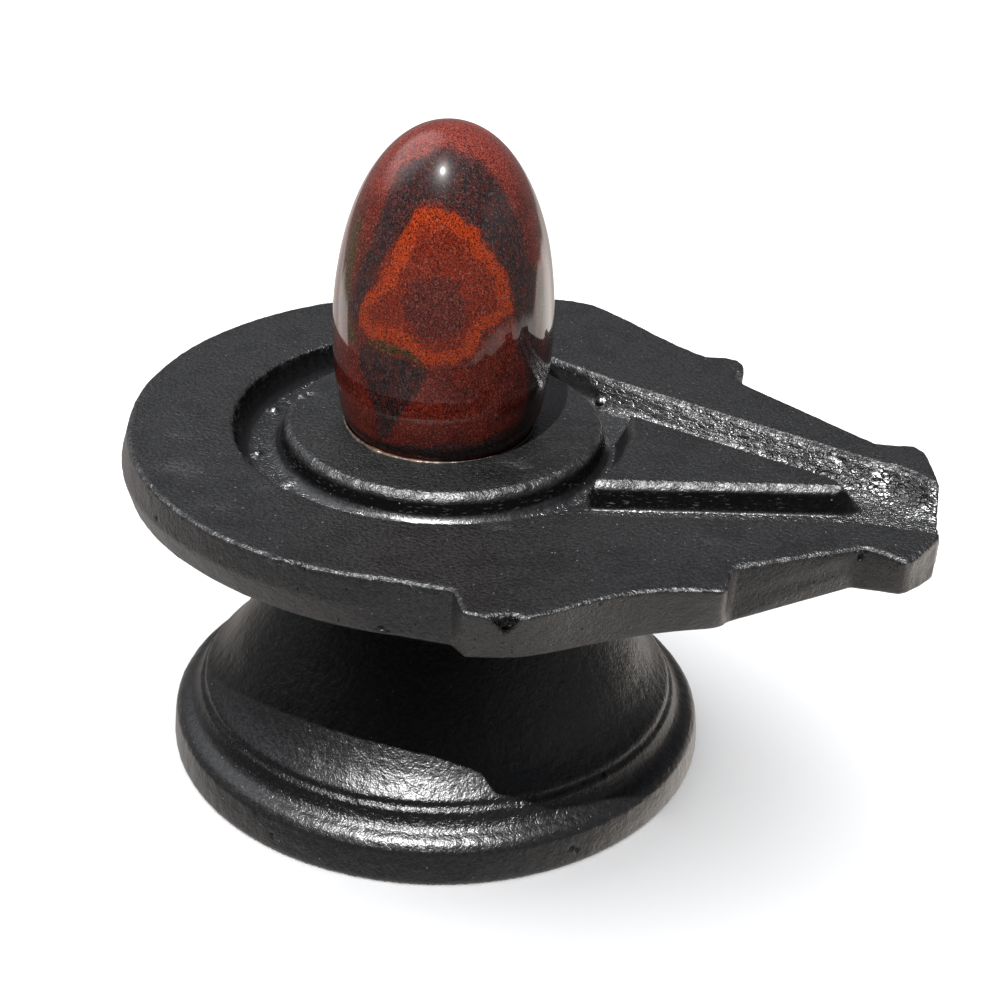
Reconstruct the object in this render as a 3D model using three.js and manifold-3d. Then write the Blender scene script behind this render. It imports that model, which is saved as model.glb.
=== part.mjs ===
// A shiva lingam stone standing in its yoni base.
// Millimetres, +Z up. The origin is the centre of the foot's underside and the spout points along +X.
import * as THREE from 'three';
import { mergeVertices } from 'three/addons/utils/BufferGeometryUtils.js';
import Module from 'manifold-3d';

const wasm = await Module();
wasm.setup();

// ---- driving dimensions ------------------------------------------------------------------------

const PLATE_TOP = 80.7; // height of the dish's flat top
const PLATE_UNDER = 66.9; // height of its flat underside
const SPOUT_UNDER = 70.4; // height of the underside at the spout's end, where the casting thins
const SPOUT_THINS_FROM = 72; // x where the underside starts to rise
const PLATE_RADIUS = 70; // round part of the dish, at the top edge
const PLATE_UNDER_RADIUS = 69.9; // the same at the lower edge: the rim wall is drafted
const UNDER_HOLLOW_DEPTH = 2.2; // the lower edge was ground back by this much at one place
const UNDER_HOLLOW_BEARING = 249; // where, in degrees from the spout
const UNDER_HOLLOW_SPREAD = 45; // and how far that reaches to each side
const WALL_BULGE = 1.6; // how far the round rim wall swells out at mid height
const EDGE_SOFTENING = 0.8; // how far the worn edges are eased, along both faces
const CHAMFER_MIDDLE = 0.3; // share of that left at the middle of the eased top edge, which rounds it
const DISH_CENTRE = [-0.3, 1]; // the dish was cast a little off its pedestal's axis

const GROOVE_RADIUS = 47; // outer edge of the ring groove
const GROOVE_DEPTH = 6.4;
const GROOVE_DRAFT = 2.6; // how far the groove's and channel's walls lean in from top to floor
const FLOOR_FILLET = 1.2; // and the fillet between those walls and the floor
const BANK_SPREAD = 3.5; // the channel's far bank slopes this much further by the spout's end
const BANK_SPREADS_FROM = 35; // x where it starts to
const OVERLAP = 1; // how far a form runs into the one that it is joined to

// Round boss that carries the stone: [radius, depth below the flat top], from its foot up.
const BOSS = [[38.9, 6.4], [37.4, 5.6], [36.5, 4.5], [35.9, 1.7], [35.3, 0.7], [34.3, 0]];

const STONE_CENTRE = [-0.95, 0.85]; // and the stone a little off the middle of the boss
const STONE_LEAN = [0.7, 0.2]; // how far its top leans from upright
const STONE_RADIUS = 24.3; // the stone at its widest
const STONE_WAIST_Z = 103; // height of that widest section
const STONE_TOP_Z = 149.6;
const STONE_FOOT_RADIUS = 20.7; // the stone where it meets the boss
const STONE_FULLNESS = 1.05; // above 1 the crown is blunter than an ellipse
const STONE_BOTTOM_Z = 72.6; // its blunt lower end, down in the socket
const STONE_BLUNTNESS = 0.75; // below 1 that end is flatter than an ellipse
const CLEARANCE = 0.3; // gap between neighbouring pieces
const FACET_ALLOWANCE = 0.05; // facets cut this much inside the true curves

const BEAD_WIDTH = 1.1; // adhesive squeezed out around the stone
const BEAD_HEIGHT = 0.8;
const BEAD_LEAN = 0.35; // how far its inner side leans out with the stone
const BEAD_SHOULDER = [0.8, 0.6]; // its outer corner, as shares of that width and height

const TURN_SEGMENTS = 72; // facets of every turned form
const ROUND_STEPS = 52; // facets of the dish's round part
const GROOVE_STEPS = 52;
const ISLAND_STEPS = 10; // facets of the island's inner arc
const SWEEP_STEPS = 10; // facets of the long curve between ear and step
const NOSE_STEPS = 4; // of the step's rounded corner
const FLARE_STEPS = 3; // of each half of the flare
const END_STEPS = 6; // of the spout's end
const BLUNT_STEPS = 3; // of the stone's lower end, from axis to rim
const STONE_STEPS = 13; // and of the stone above the boss

// Half outlines of the spout, each point as [x, reach from the centre line] at the top edge, then at
// the lower edge. The casting is hand finished, so its two sides differ. A pull bends a curve.
const NEAR_SIDE = {
  root: [[23.1, 68.9], [22.6, 68.3]], // where the ear steps out of the round rim
  ear: [[27.3, 76.2], [26.4, 71.3]],
  shoulder: [[35.1, 76.1], [33.4, 69.3]],
  shoulderPull: [[44, 74.5], [42.5, 66.6]],
  stepPull: [[50, 56.4], [50.5, 55.1]],
  step: [[71.9, 53.1], [69.3, 46.3]], // where the second step's rounded corner starts
  nosePull: [[73.9, 52.9], [71.5, 45.2]],
  noseEnd: [[73.6, 50.8], [72.5, 43.9]],
  hook: [[73.3, 46.2], [72.9, 43.2]], // the flank stands a little back before the taper
  taper: [[73.8, 42.7], [73.7, 42.2]],
  notch: [[97.3, 26.9], [95.6, 24.4]], // waist just before the spout flares
  flarePull: [[101.5, 27.4], [100.5, 24.9]],
  flare: [[105.7, 30], [105.4, 25.4]],
  lipPull: [[107.6, 29.4], [107.3, 24.9]],
  lip: [[111.5, 16.6], [111.2, 18]], // end of the flare, where the spout's end starts
};
const FAR_SIDE = {
  root: [[3, 70.1], [2.6, 69.2]],
  ear: [[7, 74.4], [6.6, 70.6]],
  shoulder: [[14.5, 74.5], [13.6, 69.6]],
  shoulderPull: [[22, 74], [21, 69]],
  stepPull: [[38, 57.8], [37, 56]],
  step: [[50.2, 53.1], [49.6, 51.6]],
  nosePull: [[60.2, 56.6], [59.6, 54.8]],
  noseEnd: [[60.2, 47.8], [59.8, 46.4]],
  hook: [[58.5, 45], [57.9, 43.9]],
  taper: [[61.1, 41.1], [60.6, 41]],
  notch: [[94.2, 20.9], [93, 19]],
  flarePull: [[98.4, 21.3], [97.3, 19.4]],
  flare: [[102.6, 22.4], [101.6, 19.8]],
  lipPull: [[103.5, 22], [102.7, 19.4]],
  lip: [[105.4, 20], [104.8, 18.8]],
};
const END_PULL = [[112.6, 1], [112.2, 1]]; // bulge of the spout's end between its two lips

// The round rim stops this many degrees short of each ear, and straight facets blend it in.
const FAR_ROOT_BLEND = 3.4;
const NEAR_ROOT_BLEND = 9.7;

// Top edge of the open channel that runs from the ring groove out through the spout.
const CHANNEL_NEAR = [[33.5, -34], [56, -27.4], [96, -16.3], [101, -15.9], [124, -15.5]];
const CHANNEL_FAR = [
  [124, 1.7], [108, 7], [104.6, 9.4], [100, 11.6], [95.6, 11.9], [60, 23.2], [34, 31.5], [22.7, 36],
  [12, 40.8], [4, 46.7],
];
const CHANNEL_BLEND = 4; // degrees between the ring groove's arc and each side of the channel

// Flat-topped island that parts the channel: an inner arc facing the boss, and a blunt outer tip.
const ISLAND_INNER_RADIUS = 42.3;
const ISLAND_FAR_CORNER = 22.6; // angle of its inner corner on the far side, in degrees
const ISLAND_NEAR_CORNER = -24.2;
const ISLAND_TIP = [[87.4, 1.2], [90.2, -2.2], [88.6, -2.6]];
const ISLAND_DRAFT = 3.2; // how far its sides lean out from top to floor
const ISLAND_NEAR_DRAFT = 1.7; // the near side is steeper
const ISLAND_TIP_LEAN = 4.6; // and the tip is flatter
const ISLAND_FILLET = 0.5; // between its sides and the channel's floor
const ISLAND_EASING = [0.4, 1.0, 1.5]; // its top edge is worn off: this far in, this far out, this deep

// Pedestal, turned: [radius, height] from the underside up into the dish.
const PEDESTAL = [
  [0, 0], [62.6, 0], [63, 0.5], [62.8, 3.5], [62.3, 6.6], [61.3, 8], [60.2, 8.8], [58.6, 9.5],
  [57.4, 10.7], [56.8, 12], [56.5, 13.2], [55.8, 13.7], [55.2, 13.8], [55.3, 15], [54.7, 15.7],
  [53.2, 17.1], [51.2, 19.3], [49.2, 22], [46.6, 26.1], [40.8, 34.5], [34.6, 43.6], [32, 48.2],
  [30.3, 52.8], [29.8, 56.8], [31, 60.6], [34, 63.8], [39, 66], [44, PLATE_UNDER],
  [44, PLATE_UNDER + OVERLAP], [0, PLATE_UNDER + OVERLAP],
];
const FOOT_SLANT = 0.028; // the foot's rim and ledge were cast out of level and rise towards -Y
const FOOT_SLANT_FULL = [6.6, 18]; // heights between which the whole slant applies
const FOOT_SLANT_GONE = 50; // and above which there is none

// ---- mesh helpers ------------------------------------------------------------------------------

const SAME_PLACE = 1e-4; // corners closer than this are one corner

function solid(geometry) {
  const bare = geometry.clone();
  bare.deleteAttribute('normal');
  bare.deleteAttribute('uv');
  const merged = mergeVertices(bare, SAME_PLACE);
  const mesh = new wasm.Mesh({
    numProp: 3,
    vertProperties: Float32Array.from(merged.attributes.position.array),
    triVerts: Uint32Array.from(merged.index.array),
  });
  return new wasm.Manifold(mesh);
}

function geometryOf(manifold) {
  const mesh = manifold.getMesh();
  const geometry = new THREE.BufferGeometry();
  geometry.setAttribute('position', new THREE.BufferAttribute(Float32Array.from(mesh.vertProperties), 3));
  geometry.setIndex(new THREE.BufferAttribute(Uint32Array.from(mesh.triVerts), 1));
  geometry.computeVertexNormals();
  return geometry;
}

function turned(profile) {
  const points = profile.map(([radius, height]) => new THREE.Vector2(radius, height));
  const geometry = new THREE.LatheGeometry(points, TURN_SEGMENTS);
  geometry.rotateX(Math.PI / 2); // the lathe turns about Y: stand it up on Z
  return geometry;
}

// Skins a stack of outlines that run anticlockwise and have equally many points.
function lofted(levels) {
  const count = levels[0].outline.length;
  const positions = levels.flatMap(({ outline, height }) => outline.flatMap((p) => [p.x, p.y, height(p)]));
  const indices = [];
  for (let level = 0; level + 1 < levels.length; level += 1) {
    for (let i = 0; i < count; i += 1) {
      const a = level * count + i;
      const b = level * count + ((i + 1) % count);
      indices.push(a, b, b + count, a, b + count, a + count);
    }
  }
  const top = (levels.length - 1) * count;
  for (const [a, b, c] of THREE.ShapeUtils.triangulateShape(levels[0].outline, [])) {
    indices.push(a, c, b);
  }
  for (const [a, b, c] of THREE.ShapeUtils.triangulateShape(levels[levels.length - 1].outline, [])) {
    indices.push(top + a, top + b, top + c);
  }
  const geometry = new THREE.BufferGeometry();
  geometry.setAttribute('position', new THREE.Float32BufferAttribute(positions, 3));
  geometry.setIndex(indices);
  return geometry;
}

// Moves every point of an anticlockwise outline inwards, square to the outline. The distance is one
// number for all of them or a function of the point.
function inset(outline, distance) {
  return outline.map((point, i) => {
    const before = outline[(i + outline.length - 1) % outline.length];
    const after = outline[(i + 1) % outline.length];
    const along = after.clone().sub(before).normalize();
    const move = typeof distance === 'function' ? distance(point) : distance;
    return new THREE.Vector2(point.x - along.y * move, point.y + along.x * move);
  });
}

const bearingOf = ({ x, y }) => THREE.MathUtils.radToDeg(Math.atan2(y, x));

// Points round the middle from one bearing to another, where the radius may change with the bearing.
function arc(radiusAt, from, to, steps) {
  const points = [];
  for (let i = 0; i <= steps; i += 1) {
    const bearing = THREE.MathUtils.lerp(from, to, i / steps);
    const angle = THREE.MathUtils.degToRad(bearing);
    points.push(new THREE.Vector2(Math.cos(angle), Math.sin(angle)).multiplyScalar(radiusAt(bearing)));
  }
  return points;
}

// ---- dish --------------------------------------------------------------------------------------

const TOP = 0;
const UNDER = 1;

// One side of the spout, from the ear's root to the lip. side is 1 for +Y and -1 for -Y.
function spoutSide(shape, side, edge) {
  const at = (name) => new THREE.Vector2(shape[name][edge][0], side * shape[name][edge][1]);
  const bend = (from, pull, to, steps) => (
    new THREE.QuadraticBezierCurve(at(from), at(pull), at(to)).getPoints(steps)
  );
  const sweep = new THREE.CubicBezierCurve(at('shoulder'), at('shoulderPull'), at('stepPull'), at('step'));
  return [
    at('root'),
    at('ear'),
    ...sweep.getPoints(SWEEP_STEPS).slice(0, -1),
    ...bend('step', 'nosePull', 'noseEnd', NOSE_STEPS),
    at('hook'),
    at('taper'),
    ...bend('notch', 'flarePull', 'flare', FLARE_STEPS),
    ...bend('flare', 'lipPull', 'lip', FLARE_STEPS).slice(1),
  ];
}

// Radius of the dish's round part. Its lower edge draws in around one bearing.
function roundRadius(edge, bearing) {
  const away = Math.abs(bearing - UNDER_HOLLOW_BEARING) / UNDER_HOLLOW_SPREAD;
  const hollow = Math.cos((Math.min(away, 1) * Math.PI) / 2) ** 2;
  return edge === TOP ? PLATE_RADIUS : PLATE_UNDER_RADIUS - UNDER_HOLLOW_DEPTH * hollow;
}

function dishOutline(edge) {
  const near = spoutSide(NEAR_SIDE, -1, edge);
  const far = spoutSide(FAR_SIDE, 1, edge).reverse();
  const pull = new THREE.Vector2(END_PULL[edge][0], END_PULL[edge][1]);
  const spoutEnd = new THREE.QuadraticBezierCurve(near[near.length - 1], pull, far[0]);
  const from = bearingOf(spoutSide(FAR_SIDE, 1, TOP)[0]) + FAR_ROOT_BLEND;
  const to = bearingOf(spoutSide(NEAR_SIDE, -1, TOP)[0]) + 360 - NEAR_ROOT_BLEND;
  const round = arc((bearing) => roundRadius(edge, bearing), from, to, ROUND_STEPS);
  return [...round, ...near, ...spoutEnd.getPoints(END_STEPS).slice(1, -1), ...far];
}

// The underside is flat but for the spout, which gets thinner towards its end.
function undersideHeight(point) {
  const run = Math.max(0, point.x - SPOUT_THINS_FROM) / (NEAR_SIDE.lip[UNDER][0] - SPOUT_THINS_FROM);
  return PLATE_UNDER + run * (SPOUT_UNDER - PLATE_UNDER);
}

// Pushes the round part of an outline out, most in its middle and not at all where the ears start.
function swollen(outline, distance) {
  return outline.map((point, i) => {
    const share = i < ROUND_STEPS ? Math.sqrt(Math.sin((Math.PI * i) / ROUND_STEPS)) : 0;
    return point.clone().setLength(point.length() + distance * share);
  });
}

function dish() {
  const top = dishOutline(TOP);
  const under = dishOutline(UNDER);
  const between = (share) => top.map((p, i) => p.clone().lerp(under[i], share));
  const easing = EDGE_SOFTENING;
  const easingShare = easing / (PLATE_TOP - PLATE_UNDER);
  return solid(lofted([
    { outline: inset(under, easing), height: undersideHeight },
    { outline: between(1 - easingShare), height: (p) => undersideHeight(p) + easing },
    { outline: swollen(between(0.5), WALL_BULGE), height: (p) => (undersideHeight(p) + PLATE_TOP) / 2 },
    { outline: between(easingShare), height: () => PLATE_TOP - easing },
    { outline: inset(top, easing * CHAMFER_MIDDLE), height: () => PLATE_TOP - easing * CHAMFER_MIDDLE },
    { outline: inset(top, easing), height: () => PLATE_TOP },
  ]));
}

// ---- what is hollowed out of the dish ----------------------------------------------------------

const FLOOR = PLATE_TOP - GROOVE_DEPTH;
const ABOVE = 3; // how far the cutting forms reach above the flat top

function hollow() {
  const near = CHANNEL_NEAR.map(([x, y]) => new THREE.Vector2(x, y));
  const far = CHANNEL_FAR.map(([x, y]) => new THREE.Vector2(x, y));
  const from = bearingOf(far[far.length - 1]) + CHANNEL_BLEND;
  const to = bearingOf(near[0]) + 360 - CHANNEL_BLEND;
  const outline = [...arc(() => GROOVE_RADIUS, from, to, GROOVE_STEPS), ...near, ...far];
  const spread = ({ x, y }) => {
    const run = (x - BANK_SPREADS_FROM) / (FAR_SIDE.lip[TOP][0] - BANK_SPREADS_FROM);
    return y > 0 ? THREE.MathUtils.clamp(run, 0, 1) * BANK_SPREAD : 0;
  };
  return solid(lofted([
    { outline: inset(outline, (p) => GROOVE_DRAFT + FLOOR_FILLET + spread(p)), height: () => FLOOR },
    { outline: inset(outline, (p) => GROOVE_DRAFT + spread(p) / 2), height: () => FLOOR + FLOOR_FILLET },
    { outline, height: () => PLATE_TOP },
    { outline: inset(outline, (-GROOVE_DRAFT * ABOVE) / GROOVE_DEPTH), height: () => PLATE_TOP + ABOVE },
  ]));
}

function boss() {
  const side = BOSS.map(([radius, depth]) => [radius, PLATE_TOP - depth]);
  const bottom = FLOOR - OVERLAP;
  return solid(turned([[0, bottom], [BOSS[0][0], bottom], ...side, [0, PLATE_TOP]]));
}

function island() {
  const inner = arc(() => ISLAND_INNER_RADIUS, ISLAND_FAR_CORNER, ISLAND_NEAR_CORNER, ISLAND_STEPS);
  const tip = ISLAND_TIP.map(([x, y]) => new THREE.Vector2(x, y)).reverse();
  const top = [...inner, ...tip];
  const nearSide = [inner[inner.length - 1], tip[0]];
  const foot = inset(top, (p) => (nearSide.includes(p) ? -ISLAND_NEAR_DRAFT : -ISLAND_DRAFT));
  tip.forEach((_, i) => {
    foot[inner.length + i].x += ISLAND_TIP_LEAN - ISLAND_DRAFT;
  });
  const [wornIn, wornOut, wornDown] = ISLAND_EASING;
  return solid(lofted([
    { outline: inset(foot, -ISLAND_FILLET), height: () => FLOOR - OVERLAP },
    { outline: foot, height: () => FLOOR + ISLAND_FILLET },
    { outline: inset(top, -wornOut), height: () => PLATE_TOP - wornDown },
    { outline: inset(top, wornIn), height: () => PLATE_TOP },
  ]));
}

// ---- pedestal ----------------------------------------------------------------------------------

// Tips the foot's rim and ledge out of level and leaves its underside flat.
function slanted(geometry) {
  const corners = geometry.attributes.position;
  const [low, high] = FOOT_SLANT_FULL;
  for (let i = 0; i < corners.count; i += 1) {
    const height = corners.getZ(i);
    const fade = (FOOT_SLANT_GONE - height) / (FOOT_SLANT_GONE - high);
    const share = Math.min(height / low, 1, Math.max(fade, 0));
    corners.setZ(i, height - corners.getY(i) * FOOT_SLANT * share);
  }
  return geometry;
}

// ---- stone -------------------------------------------------------------------------------------

// Half outline of the stone, swollen by a margin: an ellipse above the boss, a blunt end below it.
function stoneProfile(margin) {
  const points = [];
  const semiAxis = STONE_TOP_Z - STONE_WAIST_Z;
  const footAngle = -Math.acos(STONE_FOOT_RADIUS / STONE_RADIUS);
  const bluntDepth = PLATE_TOP - STONE_BOTTOM_Z;
  for (let i = 0; i <= BLUNT_STEPS; i += 1) {
    const angle = (Math.PI / 2) * (i / BLUNT_STEPS);
    const radius = (STONE_FOOT_RADIUS + margin) * Math.sin(angle) ** STONE_BLUNTNESS;
    points.push([radius, PLATE_TOP - (bluntDepth + margin) * Math.cos(angle)]);
  }
  for (let i = 1; i <= STONE_STEPS; i += 1) {
    const angle = footAngle + (Math.PI / 2 - footAngle) * (i / STONE_STEPS);
    const power = angle > 0 ? 1 / STONE_FULLNESS : 1;
    const radius = i === STONE_STEPS ? 0 : (STONE_RADIUS + margin) * Math.cos(angle) ** power;
    const rise = Math.sign(angle) * Math.abs(Math.sin(angle)) ** power;
    points.push([radius, STONE_WAIST_Z + (semiAxis + margin) * rise]);
  }
  return points;
}

function stone(margin) {
  const geometry = turned(stoneProfile(margin));
  const leanPerHeight = new THREE.Vector2(...STONE_LEAN).divideScalar(STONE_TOP_Z - PLATE_TOP);
  const lean = new THREE.Matrix4().makeShear(0, 0, 0, 0, leanPerHeight.x, leanPerHeight.y);
  geometry.translate(0, 0, -PLATE_TOP).applyMatrix4(lean);
  return geometry.translate(STONE_CENTRE[0], STONE_CENTRE[1], PLATE_TOP);
}

function bead() {
  const inner = STONE_FOOT_RADIUS + CLEARANCE + 2 * FACET_ALLOWANCE;
  const base = PLATE_TOP + CLEARANCE;
  const shoulder = [inner + BEAD_WIDTH * BEAD_SHOULDER[0], base + BEAD_HEIGHT * BEAD_SHOULDER[1]];
  const ring = turned([
    [inner, base], [inner + BEAD_WIDTH, base], shoulder, [inner + BEAD_LEAN, base + BEAD_HEIGHT], [inner, base],
  ]);
  return ring.translate(STONE_CENTRE[0], STONE_CENTRE[1], 0);
}

// ---- scene graph -------------------------------------------------------------------------------

const part = new THREE.Group();

function addPiece(name, geometry, look) {
  const mesh = new THREE.Mesh(geometry, new THREE.MeshStandardMaterial(look));
  mesh.name = name;
  part.add(mesh);
}

const carvedDish = dish().subtract(hollow().subtract(boss()).subtract(island()));
const socket = solid(stone(CLEARANCE + FACET_ALLOWANCE));
const pedestal = solid(slanted(turned(PEDESTAL)));
const base = pedestal.add(carvedDish.translate([...DISH_CENTRE, 0])).subtract(socket);

addPiece('yoni_base', geometryOf(base), { color: 0x2c2c2e, roughness: 0.5, metalness: 0 });
addPiece('lingam_stone', stone(0), { color: 0x7a2012, roughness: 0.12, metalness: 0 });
addPiece('adhesive_bead', bead(), { color: 0x8a7a66, roughness: 0.6, metalness: 0 });

export default part;
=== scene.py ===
"""The looks of a shiva lingam stone standing in its yoni base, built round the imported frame.

Lengths are written in millimetres and turned into metres by MM. Directions and places are in the
frame of the part: +Z up, the spout towards +X, the origin under the middle of the foot.
A pair of numbers named as a border gives where a share is 0 and where it is 1.
"""

import math

import bpy
import numpy as np
from mathutils import Matrix, Vector


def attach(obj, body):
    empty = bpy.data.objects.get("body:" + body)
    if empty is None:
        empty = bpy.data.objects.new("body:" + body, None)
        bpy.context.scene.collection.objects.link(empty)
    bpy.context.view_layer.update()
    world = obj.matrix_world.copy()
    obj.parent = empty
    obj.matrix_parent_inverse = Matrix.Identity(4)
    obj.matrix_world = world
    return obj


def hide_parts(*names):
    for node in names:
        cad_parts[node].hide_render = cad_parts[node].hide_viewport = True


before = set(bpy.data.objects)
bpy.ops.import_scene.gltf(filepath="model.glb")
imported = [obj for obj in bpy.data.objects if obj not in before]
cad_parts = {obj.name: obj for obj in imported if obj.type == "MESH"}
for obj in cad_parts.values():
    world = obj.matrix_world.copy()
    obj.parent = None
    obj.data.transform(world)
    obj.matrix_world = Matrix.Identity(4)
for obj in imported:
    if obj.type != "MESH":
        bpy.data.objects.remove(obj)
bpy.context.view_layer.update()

MM = 0.001
SEED = 11  # every noise adds a number of its own to it


# ---- noise and distances -----------------------------------------------------------------------

NOISE_TABLE = 256  # how many random vectors a noise draws on, a power of two
NOISE_GAIN = 1.6  # brings the noise to about -1 to 1
FAR = 1e9


def drawn(shuffled, cell):
    """Which of a noise's random vectors belongs to each cell."""
    x, y, z = cell.T
    last = NOISE_TABLE - 1
    return shuffled[(shuffled[(shuffled[x & last] + y) & last] + z) & last]


def lattice_noise(points, size, seed):
    """Smooth noise between about -1 and 1, with one bump in every `size` millimetres."""
    rng = np.random.default_rng(seed)
    gradients = rng.normal(size=(NOISE_TABLE, 3))
    gradients /= np.linalg.norm(gradients, axis=1, keepdims=True)
    shuffled = rng.permutation(NOISE_TABLE)
    scaled = points / size
    cell = np.floor(scaled).astype(int)
    inside = scaled - cell
    fade = inside ** 3 * (inside * (inside * 6 - 15) + 10)
    total = np.zeros(len(points))
    for corner in np.ndindex(2, 2, 2):
        slope = ((inside - corner) * gradients[drawn(shuffled, cell + corner)]).sum(axis=1)
        total += slope * np.where(corner, fade, 1 - fade).prod(axis=1)
    return total * NOISE_GAIN


def cell_noise(points, size, seed):
    """0 in the middle of each rounded lump, rising towards 1 in the creases between lumps."""
    rng = np.random.default_rng(seed)
    offsets = rng.random((NOISE_TABLE, 3))
    shuffled = rng.permutation(NOISE_TABLE)
    scaled = points / size
    cell = np.floor(scaled).astype(int)
    nearest = np.full(len(points), FAR)
    for step in np.ndindex(3, 3, 3):
        neighbour = cell + np.array(step) - 1
        middle = neighbour + offsets[drawn(shuffled, neighbour)]
        nearest = np.minimum(nearest, ((scaled - middle) ** 2).sum(axis=1))
    return np.clip(np.sqrt(nearest), 0, 1)


def ramp(value, low, high):
    """Rises smoothly from 0 at low to 1 at high. With low above high it falls instead."""
    share = np.clip((value - low) / (high - low), 0, 1)
    return share * share * (3 - 2 * share)


def ramp_from(least, value, border):
    """Rises smoothly from `least` at the border's first value to 1 at its second."""
    return least + (1 - least) * ramp(value, *border)


def from_segment(x, y, start, end):
    """Distance to the nearest place on a straight segment, and that place's share of the way along it."""
    dx, dy = end[0] - start[0], end[1] - start[1]
    along = np.clip(((x - start[0]) * dx + (y - start[1]) * dy) / (dx * dx + dy * dy), 0, 1)
    return np.hypot(x - start[0] - along * dx, y - start[1] - along * dy), along


def depth_inside(x, y, outline):
    """How far each point lies inside a closed outline, negative outside it."""
    distance = np.full(len(x), FAR)
    inside = np.zeros(len(x), bool)
    for start, end in zip(outline, outline[1:] + outline[:1]):
        distance = np.minimum(distance, from_segment(x, y, start, end)[0])
        (ax, ay), (bx, by) = start, end
        if ay != by:
            inside ^= ((ay > y) != (by > y)) & (x < ax + (y - ay) * (bx - ax) / (by - ay))
    return np.where(inside, distance, -distance)


def distance_to_line(x, y, line):
    """Distance to an open line of points, each with its own half width, less that half width."""
    nearest = np.full(len(x), FAR)
    for (ax, ay, aw), (bx, by, bw) in zip(line, line[1:]):
        away, along = from_segment(x, y, (ax, ay), (bx, by))
        nearest = np.minimum(nearest, away - (aw + along * (bw - aw)))
    return nearest


# ---- mesh helpers ------------------------------------------------------------------------------


def new_object(name, data):
    made = bpy.data.objects.new(name, data)
    bpy.context.scene.collection.objects.link(made)
    return made


def with_modifiers_applied(made):
    """Turns an object's modifiers into its mesh."""
    graph = bpy.context.evaluated_depsgraph_get()
    mesh = bpy.data.meshes.new_from_object(made.evaluated_get(graph))
    old = made.data
    made.modifiers.clear()
    made.data = mesh
    bpy.data.meshes.remove(old)


def vectors(items, name):
    """One vector of each item, as rows."""
    flat = np.empty(len(items) * 3, np.float32)
    items.foreach_get(name, flat)
    return flat.reshape(-1, 3).astype(float)


def places(mesh):
    """The vertices' places in millimetres."""
    return vectors(mesh.vertices, "co") / MM


def normals(mesh):
    return vectors(mesh.vertex_normals, "vector")


def set_places(mesh, points):
    mesh.vertices.foreach_set("co", (points * MM).astype(np.float32).ravel())
    mesh.update()


def store(mesh, name, values):
    """Keeps one number for each vertex, which a material can read."""
    layer = mesh.attributes.new(name, "FLOAT", "POINT")
    layer.data.foreach_set("value", np.ascontiguousarray(values, np.float32))


def smooth_shading(mesh):
    mesh.polygons.foreach_set("use_smooth", [True] * len(mesh.polygons))


def mesh_of(name, points, faces):
    """A smoothly shaded mesh from places in millimetres."""
    mesh = bpy.data.meshes.new(name)
    mesh.from_pydata([tuple(p * MM) for p in points], [], faces)
    smooth_shading(mesh)
    return mesh


# ---- the casting -------------------------------------------------------------------------------

DISH_CENTRE = (-0.3, 1.0)
PLATE_TOP = 80.7
PLATE_UNDER = 66.9
HOLLOW_FLOOR = 74.3  # of the groove and the channel
GROOVE_RADIUS = 47.0
CHANNEL = [
    (20, -41.5), (33.5, -34), (56, -27.4), (96, -16.3), (101, -15.9), (124, -15.5), (124, 1.7), (108, 7),
    (104.6, 9.4), (100, 11.6), (95.6, 11.9), (60, 23.2), (34, 31.5), (22.7, 36), (12, 40.8),
]
ISLAND = [(38.6, -17.3), (88.6, -2.6), (90.2, -2.2), (87.4, 1.2), (39.1, 16.3), (41.7, 7.1), (41.7, -7.6)]
CHANNEL_HEADING = math.radians(-17.5)  # the way the far bank runs
DRAWN_OUT = (0.36, 1, 1)  # the bank's lumps and cracks are drawn out, more or less along it
VOXEL = 0.46
SMOOTHINGS = 3
BASE_TRIANGLES = 190_000
SOLE_BORDER = (0.1, 1.2)  # heights between which the relief sets in, so that the sole stays flat
SOLE_THICKNESS = 0.25  # all that lies lower is pressed flat on the floor

# Borders of the upward part of the normal.
STEEP = (0.9, 0.6)
UPRIGHT = (0.5, 0.25)
TILTED = (0.95, 0.75)
LEVEL = (0.75, 0.95)
FLAT = (0.92, 0.985)
ROUNDED = ((0.25, 0.5), (0.985, 0.95))
# Borders of the distance inside the groove and the channel.
HOLLOW_SIDE = (-0.8, 0.2)
PLATE_SIDE = (-1.2, -2.4)
OUTER_WALL = (3.0, 1.5)
INNER_SIDE = (-0.9, -0.3)
BANK_FOOT = (0.6, -0.6)  # less the bank's own width
# Borders of the distance inside the island.
OFF_ISLAND = (-1.8, -3.2)
# Borders of the height over the hollow's floor.
HOLLOW_BOTTOM = (-1, -0.4)
INNER_BOTTOM = (-1, 0)
# Borders of the depth under the plate's top.
HOLLOW_TOP = (0.15, 1.2)
INNER_TOP = (0.05, 0.5)
EDGE_DEPTH = (1.9, 1.0)
TOP_DEPTH = (0.7, 0.2)
# Borders of the depth under the plate's underside.
WALL_BOTTOM = (0.5, -1)
PEDESTAL_TOP = (0, 3)
# Borders of the height over the floor.
BELL_BOTTOM = (10.8, 12.4)
LEDGE_HEIGHTS = ((10.4, 12.0), (17.5, 16.0))
FOOT_TOP = (16, 12)
# Borders along X and Y, from the middle of the dish.
BANK_START = (16, 30)
BANK_WIDENS = (35, 100)
MOUTH_START = (84, 92)
LUMPS_FULL = (26, 46)
BELL_RIGHT = (26, 6)
TOP_FRONT = (-75, -15)
# The lumpy bank's width, how much wider the far one grows, and the weaker shares of lumps and top.
BANK_WIDTH = 4.4
BANK_GROWTH = 3.2
LUMPS_LEAST = 0.6
LUMPS_IN_MOUTH = 0.75
TOP_LEAST = 0.6


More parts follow.
